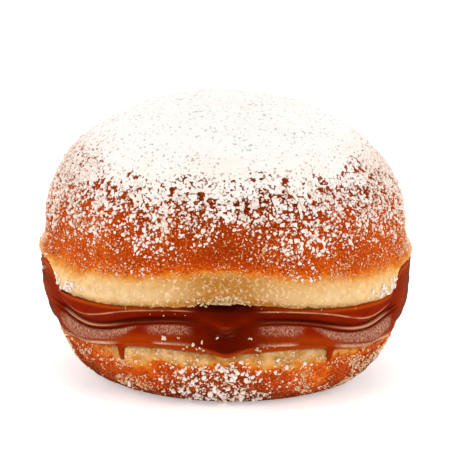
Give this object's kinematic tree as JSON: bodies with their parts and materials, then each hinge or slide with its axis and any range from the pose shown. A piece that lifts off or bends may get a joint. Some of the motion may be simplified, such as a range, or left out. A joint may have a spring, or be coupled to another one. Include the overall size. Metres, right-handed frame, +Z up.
{
  "type": "filled doughnut",
  "caption": "Round yeast doughnut split level, with a tall browned lid dusted with icing sugar, a thick ridged layer of caramel filling and a shallow base.",
  "frame": {"origin": "centre of the bounding box's underside, on the surface that the doughnut stands on", "axes": "+Z up through the lid's top, -Y towards the front, where the ring is pinched in, and +X to the right of the front"},
  "size_m": [0.095, 0.0926, 0.0715],
  "materials": {
    "crust": "fried yeast dough, browned above and below and pale round the middle",
    "caramel": "thick glossy caramel spread, pulled into ridges",
    "icing_sugar": "dry icing sugar, in a crust of powder, clumps and single grains"
  },
  "bodies": {
    "root": {"lid_bun": "crust", "caramel_filling": "caramel", "base_bun": "crust"}
  },
  "joints": []
}
